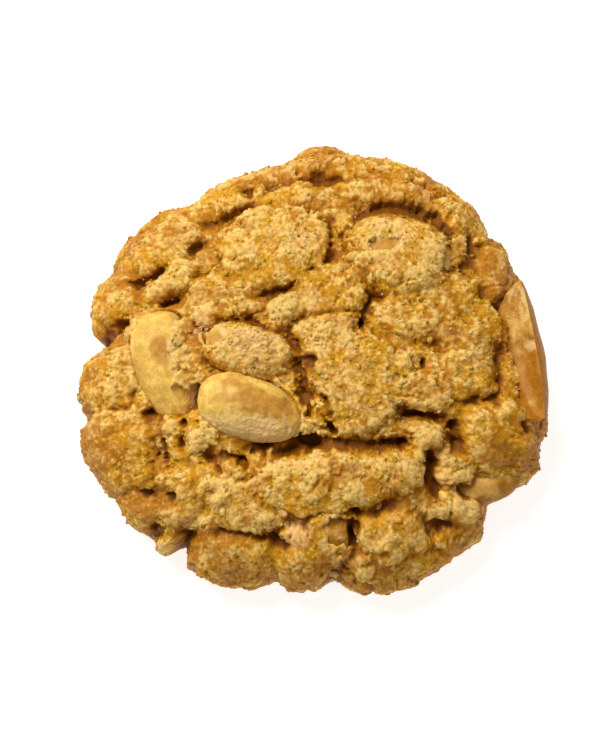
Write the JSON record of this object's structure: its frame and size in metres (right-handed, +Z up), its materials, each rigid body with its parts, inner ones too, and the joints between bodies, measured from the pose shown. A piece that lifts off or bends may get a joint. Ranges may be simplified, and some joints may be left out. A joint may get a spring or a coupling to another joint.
{
  "type": "peanut oatmeal cookie",
  "caption": "Chunky round drop cookie of craggy baked oat dough, domed over a flat base, with roasted peanut kernels set into its top and rim.",
  "frame": {"origin": "middle of the whole cookie's plan, on the flat base it rests on", "axes": "+X to the cookie's right and +Y to its back as the reference view shows it, +Z up"},
  "size_m": [0.0708, 0.0696, 0.0191],
  "materials": {
    "dough": "rough, dry baked crumb",
    "peanut": "satin, dusty roasted kernel",
    "crumbed_peanut": "kernel under a thin coat of crumb",
    "toasted_peanut": "satin, darker toasted kernel"
  },
  "bodies": {
    "root": {"dough": "dough", "peanut_front": "peanut", "peanut_left": "peanut", "peanut_right": "toasted_peanut", "peanut_crumbed": "crumbed_peanut", "peanut_top": "crumbed_peanut", "peanut_side": "toasted_peanut", "peanut_chunk": "toasted_peanut"}
  },
  "joints": []
}
